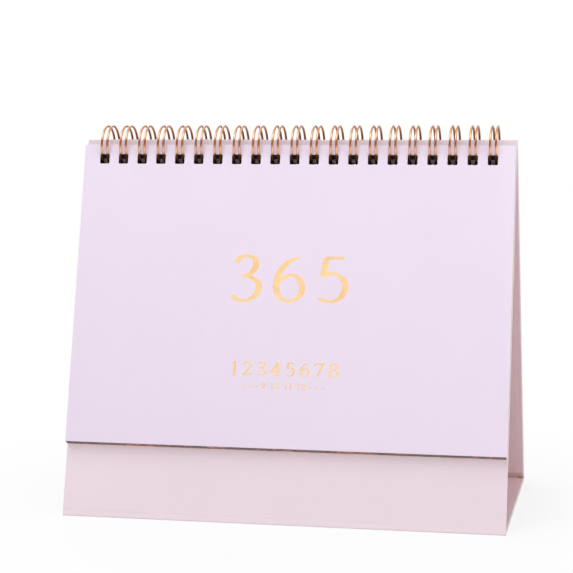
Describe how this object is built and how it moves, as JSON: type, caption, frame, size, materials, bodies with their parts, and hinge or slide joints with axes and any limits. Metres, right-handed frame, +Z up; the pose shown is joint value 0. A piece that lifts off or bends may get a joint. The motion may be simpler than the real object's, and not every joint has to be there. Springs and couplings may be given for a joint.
{
  "type": "easel desk calendar",
  "caption": "Folding card easel desk calendar: a blank pastel cover and month leaves that turn over on a twin-loop wire binding along the ridge.",
  "frame": {"origin": "on the table under the middle of the open easel", "axes": "+Z up, +X along the calendar's width and its wire, -Y out of the front; the base lies on Z = 0"},
  "size_m": [0.1884, 0.0974, 0.1642],
  "materials": {
    "greyboard": "matte",
    "outer_paper": "satin",
    "inner_paper": "matte",
    "fold_paper": "satin",
    "rose_gold_wire": "bright",
    "cover_card": "satin",
    "leaf_paper": "matte",
    "gold_foil": "bright"
  },
  "bodies": {
    "front_stand": {"front_board": "greyboard", "front_wrap": "outer_paper", "front_lining": "inner_paper", "front_fold_paper": "fold_paper", "wire_binding": "rose_gold_wire"},
    "rear_stand": {"rear_board": "greyboard", "rear_wrap": "outer_paper", "rear_lining": "inner_paper", "rear_fold_paper": "fold_paper"},
    "base_front": {"base_front_board": "greyboard", "base_front_wrap": "outer_paper", "base_front_lining": "inner_paper"},
    "base_rear": {"base_rear_board": "greyboard", "base_rear_wrap": "outer_paper", "base_rear_lining": "inner_paper"},
    "cover": {"cover_sheet": "cover_card"},
    "leaf_01": {"month_leaf_01": "leaf_paper"},
    "leaf_02": {"month_leaf_02": "leaf_paper"},
    "leaf_03": {"month_leaf_03": "leaf_paper"},
    "leaf_04": {"month_leaf_04": "leaf_paper"},
    "leaf_05": {"month_leaf_05": "leaf_paper"},
    "leaf_06": {"month_leaf_06": "leaf_paper"},
    "leaf_07": {"month_leaf_07": "leaf_paper"},
    "leaf_08": {"month_leaf_08": "leaf_paper"},
    "leaf_09": {"month_leaf_09": "leaf_paper"},
    "leaf_10": {"month_leaf_10": "leaf_paper"},
    "leaf_11": {"month_leaf_11": "leaf_paper"},
    "leaf_12": {"month_leaf_12": "leaf_paper"}
  },
  "joints": [
    {"name": "easel_fold", "type": "hinge", "parent": "front_stand", "child": "rear_stand", "pos_m": [0, 0, 0.15414], "axis": [-1, 0, 0], "range_deg": [0, 31]},
    {"name": "base_front_fold", "type": "hinge", "parent": "front_stand", "child": "base_front", "pos_m": [0, -0.04586, 0.0019], "axis": [1, 0, 0], "range_deg": [0, 73.6], "deforming": ["front_fold_paper"]},
    {"name": "base_rear_fold", "type": "hinge", "parent": "rear_stand", "child": "base_rear", "pos_m": [0, 0.04586, 0.0019], "axis": [-1, 0, 0], "range_deg": [0, 73.6], "deforming": ["base_rear_board", "base_rear_wrap", "base_rear_lining", "rear_fold_paper"]},
    {"name": "cover_flip", "type": "hinge", "parent": "front_stand", "child": "cover", "pos_m": [0, 0, 0.15414], "axis": [-1, 0, 0], "range_deg": [0, 195]},
    {"name": "leaf_01_flip", "type": "hinge", "parent": "front_stand", "child": "leaf_01", "pos_m": [0, 0, 0.15414], "axis": [-1, 0, 0], "range_deg": [0, 180.1]},
    {"name": "leaf_02_flip", "type": "hinge", "parent": "front_stand", "child": "leaf_02", "pos_m": [0, 0, 0.15414], "axis": [-1, 0, 0], "range_deg": [0, 165.1]},
    {"name": "leaf_03_flip", "type": "hinge", "parent": "front_stand", "child": "leaf_03", "pos_m": [0, 0, 0.15414], "axis": [-1, 0, 0], "range_deg": [0, 150.1]},
    {"name": "leaf_04_flip", "type": "hinge", "parent": "front_stand", "child": "leaf_04", "pos_m": [0, 0, 0.15414], "axis": [-1, 0, 0], "range_deg": [0, 135.1]},
    {"name": "leaf_05_flip", "type": "hinge", "parent": "front_stand", "child": "leaf_05", "pos_m": [0, 0, 0.15414], "axis": [-1, 0, 0], "range_deg": [0, 120.1]},
    {"name": "leaf_06_flip", "type": "hinge", "parent": "front_stand", "child": "leaf_06", "pos_m": [0, 0, 0.15414], "axis": [-1, 0, 0], "range_deg": [0, 105.1]},
    {"name": "leaf_07_flip", "type": "hinge", "parent": "front_stand", "child": "leaf_07", "pos_m": [0, 0, 0.15414], "axis": [-1, 0, 0], "range_deg": [0, 90.1]},
    {"name": "leaf_08_flip", "type": "hinge", "parent": "front_stand", "child": "leaf_08", "pos_m": [0, 0, 0.15414], "axis": [-1, 0, 0], "range_deg": [0, 75.1]},
    {"name": "leaf_09_flip", "type": "hinge", "parent": "front_stand", "child": "leaf_09", "pos_m": [0, 0, 0.15414], "axis": [-1, 0, 0], "range_deg": [0, 60.1]},
    {"name": "leaf_10_flip", "type": "hinge", "parent": "front_stand", "child": "leaf_10", "pos_m": [0, 0, 0.15414], "axis": [-1, 0, 0], "range_deg": [0, 45.1]},
    {"name": "leaf_11_flip", "type": "hinge", "parent": "front_stand", "child": "leaf_11", "pos_m": [0, 0, 0.15414], "axis": [-1, 0, 0], "range_deg": [0, 30.1]},
    {"name": "leaf_12_flip", "type": "hinge", "parent": "front_stand", "child": "leaf_12", "pos_m": [0, 0, 0.15414], "axis": [-1, 0, 0], "range_deg": [0, 15.1]}
  ],
  "couplings": [
    {"joint": "base_front_fold", "follows": "easel_fold", "ratio": 2.3729},
    {"joint": "base_rear_fold", "follows": "easel_fold", "ratio": 2.3729},
    {"joint": "leaf_01_flip", "follows": "cover_flip", "ratio": 0.92308},
    {"joint": "leaf_02_flip", "follows": "cover_flip", "ratio": 0.84615},
    {"joint": "leaf_03_flip", "follows": "cover_flip", "ratio": 0.76923},
    {"joint": "leaf_04_flip", "follows": "cover_flip", "ratio": 0.69231},
    {"joint": "leaf_05_flip", "follows": "cover_flip", "ratio": 0.61538},
    {"joint": "leaf_06_flip", "follows": "cover_flip", "ratio": 0.53846},
    {"joint": "leaf_07_flip", "follows": "cover_flip", "ratio": 0.46154},
    {"joint": "leaf_08_flip", "follows": "cover_flip", "ratio": 0.38461},
    {"joint": "leaf_09_flip", "follows": "cover_flip", "ratio": 0.30769},
    {"joint": "leaf_10_flip", "follows": "cover_flip", "ratio": 0.23077},
    {"joint": "leaf_11_flip", "follows": "cover_flip", "ratio": 0.15385},
    {"joint": "leaf_12_flip", "follows": "cover_flip", "ratio": 0.076923}
  ]
}
